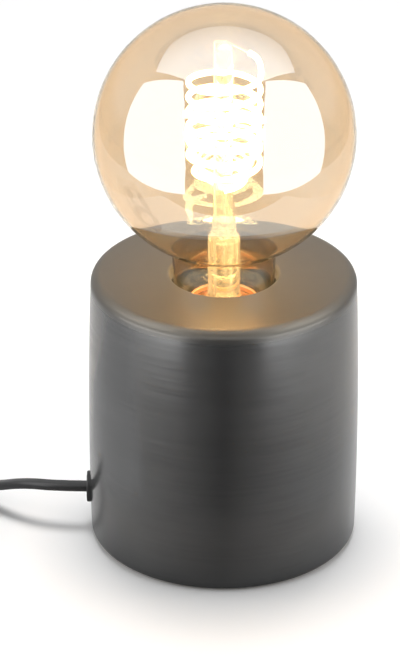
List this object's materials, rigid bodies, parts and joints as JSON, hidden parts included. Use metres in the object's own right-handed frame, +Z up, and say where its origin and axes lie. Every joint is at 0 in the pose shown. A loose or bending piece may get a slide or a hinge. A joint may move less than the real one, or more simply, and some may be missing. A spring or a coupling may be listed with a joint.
{
  "type": "ceramic table lamp",
  "caption": "Low drum-shaped ceramic table lamp with a metallic glaze; a bare amber globe filament bulb stands in its top, and a flat cord leaves low at the side.",
  "frame": {"origin": "on the table, under the middle of the drum, at the foot pad's lower face", "axes": "+Z up along the drum and the bulb, -Y towards the viewer, the cord leaves towards -X"},
  "size_m": [0.3119, 0.1007, 0.2087],
  "materials": {
    "glaze": "satin metallic glaze",
    "black_plastic": "fine matt",
    "foam": "fine foam",
    "zinc_steel": "zinc plated",
    "brass": "plain",
    "holder_plastic": "moulded",
    "porcelain": "glazed",
    "amber_glass": "clear amber coating",
    "clear_glass": "clear",
    "filament": "glowing coating",
    "nickel": "bright",
    "black_glass": "opaque",
    "solder": "dull",
    "circuit_board": "satin",
    "cord_sheath": "soft satin",
    "core_brown": "smooth",
    "core_blue": "smooth",
    "tie": "satin",
    "white_plastic": "fine matt"
  },
  "bodies": {
    "lamp": {"ceramic_body": "glaze", "cord_outlet": "black_plastic", "foot_pad": "foam", "base_plate": "zinc_steel", "base_screws": "zinc_steel", "brass_inserts": "brass", "holder_bracket": "zinc_steel", "bracket_screws": "zinc_steel", "bracket_nuts": "zinc_steel", "threaded_tube": "zinc_steel", "tube_washer": "zinc_steel", "tube_nut": "zinc_steel", "holder_cap": "holder_plastic", "holder_shell": "holder_plastic", "holder_core": "porcelain", "screw_shell": "brass", "centre_contact": "brass", "side_contact": "brass", "terminal_blocks": "brass", "terminal_screws": "zinc_steel", "clamp_lower": "white_plastic", "clamp_upper": "white_plastic", "clamp_screws": "zinc_steel", "indoor_cord": "cord_sheath", "live_conductor": "core_brown", "neutral_conductor": "core_blue", "cord_lamp_run": "cord_sheath", "switch_lower_shell": "black_plastic", "switch_upper_shell": "black_plastic", "switch_screws": "zinc_steel", "switch_terminals": "brass", "cord_switch_run": "cord_sheath", "cord_coil": "cord_sheath", "cord_tie": "tie", "cord_plug_run": "cord_sheath", "plug_body": "black_plastic", "plug_pins": "nickel", "plug_sleeves": "black_plastic"},
    "bulb": {"bulb_globe": "amber_glass", "bulb_stem": "clear_glass", "bulb_filament": "filament", "bulb_lead_wires": "nickel", "bulb_cap": "nickel", "bulb_insulator": "black_glass", "bulb_contact": "solder", "bulb_driver": "circuit_board"},
    "switch_rocker": {"switch_rocker": "black_plastic"}
  },
  "joints": [
    {"name": "bulb_lift", "type": "slide", "parent": "lamp", "child": "bulb", "axis": [0, 0, 1], "range_m": [0, 0.045]},
    {"name": "rocker_tilt", "type": "hinge", "parent": "lamp", "child": "switch_rocker", "pos_m": [-0.194, -0.0375, 0.0105], "axis": [0, 1, 0], "range_deg": [-16, 0]}
  ]
}
